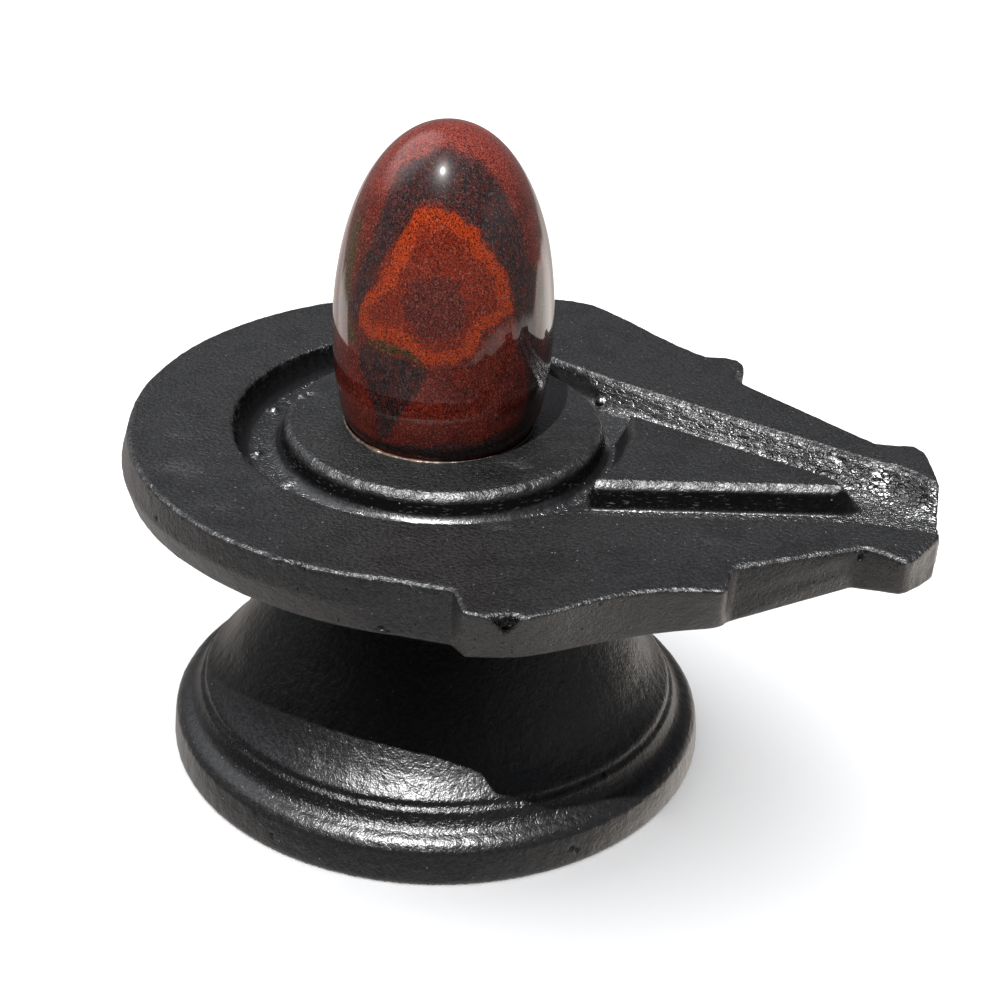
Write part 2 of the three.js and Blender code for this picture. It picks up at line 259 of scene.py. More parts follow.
def regions(points, facing):
    """Shares between 0 and 1 that say which part of the casting each vertex belongs to."""
    x, y, z = points[:, 0] - DISH_CENTRE[0], points[:, 1] - DISH_CENTRE[1], points[:, 2]
    upward = facing[:, 2]
    over_floor, under_top, under_plate = z - HOLLOW_FLOOR, PLATE_TOP - z, PLATE_UNDER - z
    in_hollow = np.maximum(GROOVE_RADIUS - np.hypot(x, y), depth_inside(x, y, CHANNEL))
    hollow = ramp(in_hollow, *HOLLOW_SIDE) * ramp(over_floor, *HOLLOW_BOTTOM) * ramp(under_top, *HOLLOW_TOP)

    channel = hollow * ramp(depth_inside(x, y, ISLAND), *OFF_ISLAND)
    bank_width = BANK_WIDTH + np.where(y > 0, BANK_GROWTH * ramp(x, *BANK_WIDENS), 0)
    bank = channel * ramp(x, *BANK_START) * ramp(in_hollow - bank_width, *BANK_FOOT)
    mouth = channel * ramp(x, *MOUTH_START)
    lumpy = np.maximum(bank * ramp_from(LUMPS_LEAST, x, LUMPS_FULL), mouth * LUMPS_IN_MOUTH)

    outer_wall = ramp(in_hollow, *OUTER_WALL) * ramp(upward, *TILTED)
    inner = np.maximum(ramp(upward, *UPRIGHT), outer_wall) * (1 - lumpy) * ramp(in_hollow, *INNER_SIDE)
    inner *= ramp(under_top, *INNER_TOP) * ramp(over_floor, *INNER_BOTTOM)
    wall = ramp(under_plate, *WALL_BOTTOM) * ramp(in_hollow, *PLATE_SIDE) * ramp(np.abs(upward), *STEEP)
    pedestal = ramp(under_plate, *PEDESTAL_TOP)
    return {
        "inner": inner,
        "wall": wall,
        "edge": ramp(under_top, *EDGE_DEPTH) * ramp(upward, *ROUNDED[0]) * ramp(upward, *ROUNDED[1]),
        "pedestal": pedestal,
        "bell": pedestal * ramp(z, *BELL_BOTTOM) * ramp(x, *BELL_RIGHT),
        "ledge": ramp(z, *LEDGE_HEIGHTS[0]) * ramp(z, *LEDGE_HEIGHTS[1]),
        "lumpy": lumpy,
        "bed": hollow * ramp(upward, *LEVEL),
        "top": ramp(upward, *FLAT) * ramp(under_top, *TOP_DEPTH) * ramp_from(TOP_LEAST, y, TOP_FRONT),
    }


def along_channel(points):
    """The same points with X turned to run along the far bank."""
    c, s = math.cos(CHANNEL_HEADING), math.sin(CHANNEL_HEADING)
    x, y, z = points.T
    return np.stack([c * x + s * y, c * y - s * x, z], axis=1)


RELIEF_SIZES = (7, 3.1, 1.5)  # distance between bumps of the coarse, the middle and the fine noise
# How high each of the three noises stands on each part of the casting.
RELIEF = {
    "top": (0.04, 0.015, 0),
    "wall": (0.09, 0.07, 0.04),
    "edge": (0, 0.05, 0.05),
    "front edge": (0, 0.07, 0.07),
    "pedestal": (0.07, 0.03, 0),
    "foot": (0, 0, 0.03),
    "bed": (0.08, 0.10, 0.07),
    "lumpy": (0.12, 0.12, 0),
}
FRONT = (0, -30)  # border along Y of the edges seen in front
FRONT_EDGE_WEAR = 0.10
LUMP_SIZE = 1.15
LUMP_HEIGHT = 0.36
LUMP_MIDDLE = 0.5  # share of a lump that stands above the plain form


def casting_relief(points, part):
    """Height of the cast surface above its plain form, in millimetres."""
    noises = [lattice_noise(points, size, SEED + k) for k, size in enumerate(RELIEF_SIZES)]
    front_edge = part["edge"] * ramp(points[:, 1], *FRONT)
    foot = part["pedestal"] * ramp(points[:, 2], *FOOT_TOP)
    share = {**part, "front edge": front_edge, "foot": foot}
    relief = -FRONT_EDGE_WEAR * front_edge
    for name, heights in RELIEF.items():
        relief += share[name] * sum(height * noise for height, noise in zip(heights, noises))
    lumps = LUMP_MIDDLE - cell_noise(along_channel(points) * DRAWN_OUT, LUMP_SIZE, SEED + 3) ** 2
    return relief + part["lumpy"] * LUMP_HEIGHT * lumps


# Small marks: place on the surface, reach sideways and upwards, depth. A negative depth stands proud.
MARKS = [
    ((-42.1, 3.8, 74.3), 2.5, 2, 0.3), ((-42.1, 3.8, 74.3), 2.0, 1.8, -1.1),
    ((-37.7, -17.7, 74.3), 1.8, 1.8, -0.9),
    ((-26.6, -28.1, 74.3), 2.5, 2, -0.8),
    ((-34.1, 0.5, 80.7), 1.4, 1.4, -0.7), ((-32.6, 2.4, 80.7), 1.5, 1.4, 0.5),
    ((29.0, 31.4, 75.4), 2.4, 2.2, 0.3), ((29.0, 31.4, 75.4), 1.5, 1.6, -1.0),
    ((8.2, -67.9, 68.9), 1.4, 0.9, 0.6), ((9.6, -67.9, 68.2), 1.2, 0.6, 0.5),
    ((-57.1, -25.6, 5.0), 0.4, 1.0, 0.7),
    ((-23.9, -57.5, 7.8), 0.5, 0.5, 0.5), ((-19.4, -59.7, 4.4), 0.6, 0.5, 0.5),
    ((44.6, -44.0, 4.6), 1.4, 0.6, 0.5), ((45.6, -43.2, 3.6), 0.9, 0.8, 0.5),
    ((-1.9, -56.5, 14.3), 1.6, 1.8, 0.3), ((-1.9, -56.5, 14.3), 0.9, 1.0, -0.4),
    ((32.3, -45.7, 14.9), 1.2, 1.4, 0.2), ((32.3, -45.7, 14.9), 0.7, 0.9, -0.3),
    ((48.2, -29.3, 14.1), 1.1, 1.2, -0.4),
    ((-47.9, -50.8, 79.0), 0.4, 0.8, 0.5), ((-45.9, -52.7, 75.6), 0.4, 0.8, 0.5),
    ((50.5, -61.7, 79.4), 0.6, 0.6, 0.4),
    ((-14.3, -67.4, 79.9), 1.2, 1.1, -0.45), ((-11.4, -67.9, 80.4), 1.3, 1.0, -0.5),
    ((-8.7, -67.9, 80.5), 1.2, 1.0, -0.45), ((-12.8, -67.6, 79.6), 0.8, 0.7, 0.4),
    ((96.4, -25.6, 78.4), 0.6, 1.7, 1.1), ((97.3, -24.8, 79.7), 1.5, 0.6, 0.8),
]
MARK_BORDER = (1.0, 0.25)  # of the distance from its middle, as a share of its reach
PIT_DARKENS = (-0.2, -0.7)  # pits and chips this deep are as dull as the inner walls

NICK_TOP = np.array((35.1, -74.4, 80.7))  # middle of the nick in the ear's top edge
NICK_ALONG = np.array((0.97, 0.25, 0.0))
NICK_DOWN = np.array((-0.09, 0.40, -0.91))
NICK_OUT = np.array((0.31, -0.84, -0.45))
NICK_HALF_WIDTH = 3.6  # at the top
NICK_HEIGHT = 6.2
NICK_DEPTH = 2.4
NICK_POINT = 0.02  # its width at the lower end, as a share of the width at the top
NICK_SLOPE = 1.7  # how steeply its sides fall
NICK_BEHIND = (-1.8, -0.6)  # border of the distance out from the ear's face


def marked(points):
    """How far each vertex is pushed out by blisters, or in, below zero, by pits and chips."""
    push = np.zeros(len(points))
    for place, sideways, upwards, depth in MARKS:
        x, y, z = (points - np.array(place)).T
        away = np.sqrt((x * x + y * y) / sideways ** 2 + (z / upwards) ** 2)
        push -= depth * ramp(away, *MARK_BORDER)
    from_nick = points - NICK_TOP
    down = from_nick @ NICK_DOWN
    half = NICK_HALF_WIDTH * np.clip(1 - down / NICK_HEIGHT, NICK_POINT, 1)
    nick = np.clip(NICK_SLOPE * (1 - np.abs(from_nick @ NICK_ALONG) / half), 0, 1)
    nick *= ramp(down, NICK_HEIGHT, 1) * ramp(from_nick @ NICK_OUT, *NICK_BEHIND) * (down > -1)
    return push - NICK_DEPTH * nick


# Chalky smudges on the flat top: x, y, half length, half width, strength.
SMUDGES = [
    (-46.5, -39.5, 6.5, 3.2, 0.9), (-52.0, -26.0, 3.4, 1.6, 0.6), (-43.4, -43.4, 2.5, 1.5, 0.5),
    (-21.9, -20.1, 2.6, 1.2, 0.7), (-25.5, -41.5, 3.0, 1.0, 0.6), (24.3, -41.3, 3.6, 1.6, 0.8),
    (21.3, -14.7, 4.2, 2.0, 0.9), (-31.0, 3.2, 3.2, 1.0, 0.5), (-33.0, -52.5, 6.0, 1.8, 0.6),
    (66.0, -33.0, 7.0, 1.6, 0.4),
]
SMUDGE_BORDER = (1.15, 0.3)  # of the distance from its middle, as a share of its half lengths
SMUDGE_NOISES = ((1.8, 1), (0.8, 0.6))  # size, strength
SMUDGE_RAGGED = 0.35


def smudged(points):
    """How strongly each vertex is smudged."""
    ragged = sum(s * lattice_noise(points, size, SEED + 6 + k) for k, (size, s) in enumerate(SMUDGE_NOISES))
    total = np.zeros(len(points))
    for x, y, length, width, strength in SMUDGES:
        away = np.hypot((points[:, 0] - x) / length, (points[:, 1] - y) / width)
        total = np.maximum(total, strength * ramp(away + SMUDGE_RAGGED * ragged, *SMUDGE_BORDER))
    return total


def cast_base():
    made = new_object("cast_yoni_base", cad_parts["yoni_base"].data.copy())
    even = made.modifiers.new("even", "REMESH")
    even.mode = "VOXEL"
    even.voxel_size = VOXEL * MM
    soften = made.modifiers.new("soften", "SMOOTH")
    soften.factor = 0.5
    soften.iterations = SMOOTHINGS
    with_modifiers_applied(made)

    points, facing = places(made.data), normals(made.data)
    lift = casting_relief(points, regions(points, facing)) + marked(points)
    lift *= ramp(points[:, 2], *SOLE_BORDER)
    points += facing * lift[:, None]
    points[:, 2] = np.where(points[:, 2] < SOLE_THICKNESS, 0, points[:, 2])
    set_places(made.data, points)

    thin = made.modifiers.new("thin", "DECIMATE")
    thin.ratio = min(1, BASE_TRIANGLES / (2 * len(made.data.polygons)))
    with_modifiers_applied(made)
    points = places(made.data)
    part = regions(points, normals(made.data))
    part["inner"] = np.maximum(part["inner"], ramp(marked(points), *PIT_DARKENS))
    part["smudge"] = smudged(points) * part["top"]
    for name, share in part.items():
        store(made.data, name, share)
    smooth_shading(made.data)
    return made


# ---- the stone ---------------------------------------------------------------------------------

STONE_CENTRE = (-0.95, 0.85)
STONE_LEAN = (0.7, 0.2)
STONE_RADIUS = 24.3
STONE_WAIST_Z = 103.0
STONE_TOP_Z = 149.6
STONE_FOOT_RADIUS = 20.7
STONE_FULLNESS = 1.05
STONE_TUCK = 0.64  # how much it draws in just above the boss
STONE_TUCK_HEIGHT = 4.2
STONE_BOTTOM_Z = 72.6
STONE_FRONT = -73.5  # bearing of the side with the ember patch, in degrees
STONE_SEMI = STONE_TOP_Z - STONE_WAIST_Z
STONE_RISE = STONE_TOP_Z - PLATE_TOP
STONE_RINGS = 180
STONE_SEGMENTS = 300
BLUNT_RINGS = 8
BLUNTNESS = 0.75  # below 1 the hidden end is flatter than an ellipse
SWELL_SIZE = 16
SWELL = (0.12, -0.08)  # height of the slow unevenness, and how far it is set in
SWELL_BORDER = (PLATE_TOP + 1, PLATE_TOP + 8)

# Outlines of the stone's colours and of its painted shade: [degrees round from the front, height] and for
# lines a half width.
EMBER = [
    (-24, 135.4), (-8, 137.3), (5, 136.8), (19, 132.8), (29, 129.2), (36, 124.8), (37, 119.8),
    (36, 115.1), (29, 114.2), (21, 112.6), (16, 108), (6, 105.3), (-6, 104.9), (-13, 107.4),
    (-27, 109.5), (-41, 108.2), (-48, 110.2), (-51, 113.1), (-49, 117), (-39, 120.3),
    (-31, 124.6), (-30, 128.1), (-28, 132),
]
ARCH = [
    (-54, 113, 2.0), (-45, 123.8, 2.4), (-39, 130.2, 2.6), (-34, 136.3, 3.4), (-28, 140.5, 3.9),
    (-7, 142.3, 4.2), (14, 140.5, 4.9), (29, 136.8, 4.9), (38, 130.5, 4.0), (43, 124.2, 3.5),
    (46, 117.3, 3.2), (47, 110.3, 3.2), (53, 102.1, 3.0), (58, 94.3, 3.0), (60, 87, 3.4),
]
LOWER_PATCH = [
    (-48, 105.8), (-31, 106.4), (-18, 106), (-7, 103.8), (-8, 101.5), (-14, 97.2), (-20, 93.1),
    (-26, 89.4), (-28, 85.4), (-35, 85.2), (-39, 91.6), (-42, 98.2), (-47, 101.9),
]
# Painted shade: a dark band round the stone's foot, just above the boss, widening towards the right.
FOOT_SHADE = [(-40, 82.4, 0.6), (-21, 83.6, 1.2), (9, 83.8, 2.4), (38, 84, 3.0), (60, 85, 3.4)]
OLIVE = [
    [(-66, 130, 1.6), (-66, 119.9, 3), (-62, 112.3, 2.4), (-54, 106.6, 1.4)],
    [(-40, 107.3, 0.8), (-22, 108, 1.2), (-12, 106.4, 1.0)],
    [(56, 122, 1), (62, 113.1, 1.6), (69, 108, 1.4)],
]
# Borders of the distance from those outlines.
PATCH_BORDER = (-1.6, 1.6)
ARCH_BORDER = (2.4, -2.4)
FOOT_SHADE_BORDER = (1.8, -1.6)
OLIVE_BORDER = (1.8, -1.4)
RIM_BORDER = (5.5, 0.8)
# The ember patch's maroon heart: middle on the chart, radius, and the border as a share of it.
HEART_MIDDLE = (-2, 117.5)
HEART_RADIUS = 8.5
HEART_BORDER = (1.15, 0.35)
# The outlines wander by two noises: their sizes, and the reach of each.
WANDER_SIZES = (6, 2.4)
WANDER_REACHES = (0.9, 0.45)
# On the back, which isn't in the photo, noises place the same colours.
BACK_BORDER = (75, 105)  # degrees from the front
BACK_DARK_BORDER = (0.25, 0.5)
BACK_EMBER_BORDER = (0.15, 0.4)
VEINS = (13, (1, 1, 0.6))  # size of the noise, and how it is drawn out
VEIN_DETAIL = (5, 0.4)  # size, strength
EMBERS = (17, (1, 1, 0.8))


def stone_radius(height):
    """Radius of the stone at each height above the boss."""
    rise = (height - STONE_WAIST_Z) / STONE_SEMI
    upper = np.clip(1 - np.clip(rise, 0, 1) ** (2 * STONE_FULLNESS), 0, 1) ** (0.5 / STONE_FULLNESS)
    lower = np.sqrt(1 - np.clip(rise, -1, 0) ** 2)
    tuck = ramp(height, PLATE_TOP + STONE_TUCK_HEIGHT, PLATE_TOP) * STONE_TUCK
    return STONE_RADIUS * np.where(rise > 0, upper, lower) - tuck


def turned_mesh(name, rings):
    """A closed mesh through rings of equally many points, shut by a fan at each end."""
    around = len(rings[0])
    ends = [ring.mean(axis=0, keepdims=True) for ring in (rings[0], rings[-1])]
    points = np.concatenate([ends[0], *rings, ends[1]])
    faces = []
    for ring in range(len(rings) - 1):
        low, high = 1 + ring * around, 1 + (ring + 1) * around
        for i in range(around):
            j = (i + 1) % around
            faces.append((low + i, low + j, high + j, high + i))
    last, top = 1 + (len(rings) - 1) * around, len(points) - 1
    for i in range(around):
        j = (i + 1) % around
        faces.append((0, 1 + j, 1 + i))
        faces.append((top, last + i, last + j))
    return mesh_of(name, points, faces)


def stone_chart(points):
    """Lays the stone's surface out flat: distance round it from the front, height, and degrees round it."""
    rise = points[:, 2] - PLATE_TOP
    x = points[:, 0] - STONE_CENTRE[0] - STONE_LEAN[0] * rise / STONE_RISE
    y = points[:, 1] - STONE_CENTRE[1] - STONE_LEAN[1] * rise / STONE_RISE
    bearing = np.degrees(np.arctan2(y, x)) - STONE_FRONT
    bearing = (bearing + 180) % 360 - 180
    return np.radians(bearing) * np.hypot(x, y), points[:, 2], bearing


def on_chart(outline):
    """Moves an outline given as [degrees, height, ...] onto the flat chart of the stone."""
    return [(math.radians(p[0]) * float(stone_radius(np.array(p[1]))), *p[1:]) for p in outline]


def stone_colours(points):
    """Shares between 0 and 1 of each colour of the stone at each vertex. The dark share also holds painted
    shade round the stone's foot.
    """
    u, v, bearing = stone_chart(points)
    for k, (size, reach) in enumerate(zip(WANDER_SIZES, WANDER_REACHES)):
        u = u + reach * lattice_noise(points, size, SEED + 20 + 2 * k)
        v = v + reach * lattice_noise(points, size, SEED + 21 + 2 * k)
    ember_depth = depth_inside(u, v, on_chart(EMBER))
    ember = ramp(ember_depth, *PATCH_BORDER)
    dark = ramp(distance_to_line(u, v, on_chart(ARCH)), *ARCH_BORDER)
    dark = np.maximum(dark, ramp(depth_inside(u, v, on_chart(LOWER_PATCH)), *PATCH_BORDER))
    # painted shade round the foot joins the dark share
    dark = np.maximum(dark, ramp(distance_to_line(u, v, on_chart(FOOT_SHADE)), *FOOT_SHADE_BORDER))
    olive = np.zeros(len(points))
    for line in OLIVE:
        olive = np.maximum(olive, ramp(distance_to_line(u, v, on_chart(line)), *OLIVE_BORDER))
    behind = ramp(np.abs(bearing), *BACK_BORDER)
    veins = lattice_noise(points * VEINS[1], VEINS[0], SEED + 24)
    veins += VEIN_DETAIL[1] * lattice_noise(points, VEIN_DETAIL[0], SEED + 25)
    embers = lattice_noise(points * EMBERS[1], EMBERS[0], SEED + 26)
    dark = np.maximum(dark, behind * ramp(veins, *BACK_DARK_BORDER))
    ember = np.maximum(ember, behind * ramp(embers, *BACK_EMBER_BORDER))
    from_heart = np.hypot(u - HEART_MIDDLE[0], v - HEART_MIDDLE[1]) / HEART_RADIUS
    return {
        "ember": ember,
        "rim": ember * ramp(ember_depth, *RIM_BORDER),
        "maroon": ember * ramp(from_heart, *HEART_BORDER),
        "dark": dark,
        "olive": olive,
    }


def stone_profile():
    """Radius and height of each ring of the stone, from its hidden blunt end to its tip."""
    profile = []
    for step in range(1, BLUNT_RINGS):
        angle = math.pi / 2 * step / BLUNT_RINGS
        height = PLATE_TOP - (PLATE_TOP - STONE_BOTTOM_Z) * math.cos(angle)
        profile.append((STONE_FOOT_RADIUS * math.sin(angle) ** BLUNTNESS, height))
    foot_angle = -math.asin((STONE_WAIST_Z - PLATE_TOP) / STONE_SEMI)
    for step in range(STONE_RINGS):
        angle = foot_angle + (math.pi / 2 - foot_angle) * step / STONE_RINGS
        height = STONE_WAIST_Z + STONE_SEMI * math.sin(angle)
        profile.append((float(stone_radius(np.array(height))), height))
    return profile


def polished_stone():
    turn = np.arange(STONE_SEGMENTS) * 2 * math.pi / STONE_SEGMENTS
    rings = []
    for radius, height in stone_profile():
        lean = (height - PLATE_TOP) / STONE_RISE
        ring = np.stack([
            STONE_CENTRE[0] + STONE_LEAN[0] * lean + radius * np.cos(turn),
            STONE_CENTRE[1] + STONE_LEAN[1] * lean + radius * np.sin(turn),
            np.full(len(turn), height),
        ], axis=1)
        rings.append(ring)
    mesh = turned_mesh("polished_stone", rings)
    points = places(mesh)
    swell = SWELL[0] * lattice_noise(points, SWELL_SIZE, SEED + 30) + SWELL[1]
    swell *= ramp(points[:, 2], *SWELL_BORDER)
    set_places(mesh, points + normals(mesh) * swell[:, None])
    for name, share in stone_colours(places(mesh)).items():
        store(mesh, name, share)
    return new_object("polished_lingam_stone", mesh)


# ---- adhesive ----------------------------------------------------------------------------------

BEAD_SEGMENTS = 360
BEAD_SIDES = 10
BEAD_OFFSET = 0.25  # from the stone to the bead's middle
BEAD_THICKNESS = 0.26
BEAD_LIMITS = (0.12, 0.9)
BEAD_NOISES = ((3.5, 0.45), (1.2, 0.25))  # size, and share of the thickness
BEAD_CENTRE = 0.55  # of the bead's section, outwards, as a share of the thickness
BEAD_FLATNESS = 0.75
BULGE_BEARING = -118  # where most of it was squeezed out, in degrees
BULGE_THICKNESS = 0.22
BULGE_BORDER = (67.2, 16.8)  # degrees from its middle
CLEAN_BORDER = (63, 42)


def squeezed_adhesive():
    """A thin uneven bead in the corner between the stone and the boss."""
    turn = np.arange(BEAD_SEGMENTS) * 2 * math.pi / BEAD_SEGMENTS
    round_it = np.stack([np.cos(turn), np.sin(turn), np.zeros(len(turn))], axis=1)
    away = np.abs((np.degrees(turn) - BULGE_BEARING + 180) % 360 - 180)
    uneven = 1.0
    for k, (size, share) in enumerate(BEAD_NOISES):
        uneven = uneven + share * lattice_noise(round_it * STONE_FOOT_RADIUS, size, SEED + 40 + k)
    thick = (BEAD_THICKNESS + BULGE_THICKNESS * ramp(away, *BULGE_BORDER)) * uneven
    thick = np.clip(thick, *BEAD_LIMITS)
    points, faces = [], []
    for side in range(BEAD_SIDES):
        angle = 2 * math.pi * side / BEAD_SIDES
        reach = STONE_FOOT_RADIUS + BEAD_OFFSET + thick * (BEAD_CENTRE + math.cos(angle))
        ring = round_it * reach[:, None] + np.array([*STONE_CENTRE, 0])
        ring[:, 2] = PLATE_TOP + thick * BEAD_FLATNESS * math.sin(angle)
        points.append(ring)
    for side in range(BEAD_SIDES):
        here, there = side * BEAD_SEGMENTS, (side + 1) % BEAD_SIDES * BEAD_SEGMENTS
        for i in range(BEAD_SEGMENTS):
            j = (i + 1) % BEAD_SEGMENTS
            faces.append((here + i, here + j, there + j, there + i))
    mesh = mesh_of("squeezed_adhesive", np.concatenate(points), faces)
    store(mesh, "clean", np.tile(ramp(away, *CLEAN_BORDER), BEAD_SIDES))
    return new_object("squeezed_adhesive", mesh)


# ---- shader nodes ------------------------------------------------------------------------------


def node(tree, kind, inputs=(), **settings):
    """Adds a shader node. An input given as a socket is linked and any other is set."""
    made = tree.nodes.new("ShaderNode" + kind)
    for name, value in settings.items():
        setattr(made, name, value)
    for name, value in dict(inputs).items():
        if isinstance(value, bpy.types.NodeSocket):
            tree.links.new(value, made.inputs[name])
        else:
            made.inputs[name].default_value = value
    return made


def mixed(tree, share, first, second):
    """Colour between first, at share 0, and second, at share 1."""
    return node(tree, "Mix", {0: share, 6: first, 7: second}, data_type="RGBA").outputs[2]


def calculated(tree, operation, first, second=0.0, clamp=False):
    made = node(tree, "Math", {0: first, 1: second}, operation=operation, use_clamp=clamp)
    return made.outputs[0]


def product(tree, first, *others):
    for other in others:
        first = calculated(tree, "MULTIPLY", first, other)
    return first


def weighted(tree, parts):
    """Sum of value * weight over pairs of sockets or numbers."""
    total = 0.0
    for value, weight in parts:
        total = node(tree, "Math", {0: value, 1: weight, 2: total}, operation="MULTIPLY_ADD").outputs[0]
    return total


def between(tree, value, low, high, to_low=0.0, to_high=1.0):
    """Carries value from the range low..high to the range to_low..to_high, smoothly."""
    wanted = {"Value": value, "From Min": low, "From Max": high, "To Min": to_low, "To Max": to_high}
    return node(tree, "MapRange", wanted, interpolation_type="SMOOTHSTEP").outputs[0]


def share_of(tree, name):
    return node(tree, "Attribute", attribute_name=name).outputs["Fac"]


def texture(tree, where, size, detail=2.0, roughness=0.5, distortion=0.0):
    """A noise whose bumps are about `size` millimetres apart."""
    wanted = {"Vector": where, "Scale": 1 / (size * MM), "Detail": detail, "Roughness": roughness}
    return node(tree, "TexNoise", {**wanted, "Distortion": distortion}).outputs["Fac"]


def stretched(tree, where, scale, turn=0.0):
    """The same place scaled, then turned about Z. A scale below 1 draws a texture out."""
    wanted = {"Vector": where, "Scale": scale, "Rotation": (0, 0, turn)}
    return node(tree, "Mapping", wanted).outputs["Vector"]


def specks(tree, where, size, radius, rarity):
    """1 on small round specks, of which `rarity` says how few of the cells hold one."""
    cells = node(tree, "TexVoronoi", {"Vector": where, "Scale": 1 / (size * MM), "Randomness": 1.0})
    near = between(tree, cells.outputs["Distance"], radius, radius * 0.5)
    lucky = node(tree, "SeparateColor", {"Color": cells.outputs["Color"]}).outputs["Red"]
    return product(tree, near, calculated(tree, "GREATER_THAN", lucky, rarity))


def new_material(name):
    material = bpy.data.materials.new(name)
    material.use_nodes = True
    tree = material.node_tree
    shader = next(n for n in tree.nodes if n.type == "BSDF_PRINCIPLED")
    where = node(tree, "TexCoord").outputs["Object"]
    return material, tree, shader, where


def link(tree, source, shader, name):
    tree.links.new(source, shader.inputs[name])


def bumped(tree, height, strength, depth):
    wanted = {"Height": height, "Strength": strength, "Distance": depth * MM}
    return node(tree, "Bump", wanted).outputs["Normal"]


# ---- the casting's material --------------------------------------------------------------------

CAST_COLOURS = {
    "black": (0.0018, 0.0018, 0.0020, 1),
    "rubbed": (0.0050, 0.0050, 0.0052, 1),
    "streak": (0.04, 0.04, 0.04, 1),
    "chalk": (0.016, 0.016, 0.0162, 1),
    # painted glints: pale specks that stand for sparkles of light on the paint's fine grain
    "painted_glints": (0.09, 0.09, 0.09, 1),
}
# Noises of the casting: size, detail, roughness, and for wrinkles and crinkles distortion.
CAST_NOISES = {
    "mottle": (7, 4, 0.6),
    "grain": (0.85, 3, 0.65),
    "fine": (0.4, 1, 0.5),
    "patchy": (2.6, 3, 0.6),
}
STREAKY = (0.4, 2, 0.6)
WRINKLES = (0.85, 2.0, 0.5, 1.0)
CRINKLES = (1.0, 2.5, 0.6, 0.6)
PITS = (1.7, 0.16, 0.7)  # size of the cells, radius, rarity
# Painted glints, laid out as the pits above: tiny pale specks that stand for sparkles of light on the
# paint.
PAINTED_GLINT_SPECKS = (2.4, 0.09, 0.5)
PAINTED_GLINT_STRENGTH = 0.8
PIT_STRETCH = (1, 1, 0.45)
STREAK_STRETCH = (0.22, 0.22, 1)  # thin level lines
STREAK_BORDER = (0.60, 0.70)
STREAK_STRENGTH = 0.5
STREAKS_IN_FRONT = (0.0, -15 * MM)  # border along Y
CRACK_CELLS = 0.9
CRACK_WIDTH = 0.10  # as a share of a cell
CRACK_DRIFT = (1.6, 1.2 * MM)  # size of the noise that bends the cracks, and how far it does
CRACKED = (0.30, 0.48)  # border of the patchy noise where there are cracks
# What the noises turn into: noise from and to, result from and to.
WORN_BY_MOTTLE = (0.34, 0.64, 0.1, 1.4)
WORN_BY_GRAIN = (0.34, 0.66, 0.0, 2.0)
WORN_WALL = 0.3
CHALKY = (0.35, 0.65)
SPARKLING_EDGE = (0.44, 0.58)
NEAR_BANK = (95 * MM, 40 * MM)  # border along X
BELL_LEFT = (-5 * MM, -25 * MM)
# What each kind of surface adds at its full share, and what is there everywhere.
PLAIN_ROUGHNESS = 0.24
ROUGHNESS = {"grain": 0.22, "edge": 0.12, "wall": 0.04, "lumpy": -0.02, "smudge": 0.15, "inner": -0.08}
PLAIN_SHINE = 0.25
SHINE = {
    "inner": -0.48, "bed": 0.50, "lumpy": 0.42, "crack": -0.9, "bell": -0.13, "near bank": 0.7,
    "bell left": -0.08, "sparkling edge": 0.4, "streak": 0.4, "ledge": -0.11, "edge": -0.06,
    "pitted wall": -0.35, "grain": 0.5,
}
WRINKLE_DEPTH = {"wall": 0.26, "pedestal": 0.09, "inner": 0.08, "bed": 0.34, "edge": 0.28, "ledge": 0.13}
CRINKLE_DEPTH = 0.32
CRACK_DEPTH = 0.12
PEDESTAL_DEPTH = 0.22
GRAIN_DEPTH = (0.38, 0.05)  # on the top, and everywhere
FINE_DEPTH = 0.05
PIT_DEPTH = 0.12


def by_table(tree, kinds, table):
    """Sum of the kinds of surface, each times its number in the table."""
    return weighted(tree, [(kinds[name], weight) for name, weight in table.items()])


def cracks_of_bank(tree, along, lumpy, patchy):
    """1 in the cracks between the lumps of the channel."""
    size, reach = CRACK_DRIFT
    drift = node(tree, "TexNoise", {"Vector": along, "Scale": 1 / (size * MM), "Detail": 2.0})
    moved = {0: drift.outputs["Color"], 1: (reach,) * 3, 2: along}
    drifted = node(tree, "VectorMath", moved, operation="MULTIPLY_ADD")
    cells = {"Vector": drifted.outputs["Vector"], "Scale": 1 / (CRACK_CELLS * MM), "Randomness": 1.0}
    away = node(tree, "TexVoronoi", cells, feature="DISTANCE_TO_EDGE").outputs["Distance"]
    return product(tree, between(tree, away, CRACK_WIDTH, 0.0), lumpy, between(tree, patchy, *CRACKED))


def cast_colour(tree, where, kinds, noises):
    worn = product(tree, kinds["top"], between(tree, noises["mottle"], *WORN_BY_MOTTLE))
    worn = calculated(tree, "ADD", worn, product(tree, kinds["wall"], WORN_WALL), clamp=True)
    worn = product(tree, worn, between(tree, noises["grain"], *WORN_BY_GRAIN))
    colour = mixed(tree, worn, CAST_COLOURS["black"], CAST_COLOURS["rubbed"])
    colour = mixed(tree, product(tree, kinds["streak"], STREAK_STRENGTH), colour, CAST_COLOURS["streak"])
    chalk = product(tree, kinds["smudge"], between(tree, noises["grain"], *CHALKY))
    colour = mixed(tree, chalk, colour, CAST_COLOURS["chalk"])
    # Painted glints: pale specks over the whole casting, standing for sparkles of light.
    painted_glints = product(tree, specks(tree, where, *PAINTED_GLINT_SPECKS), PAINTED_GLINT_STRENGTH)
    return mixed(tree, painted_glints, colour, CAST_COLOURS["painted_glints"])


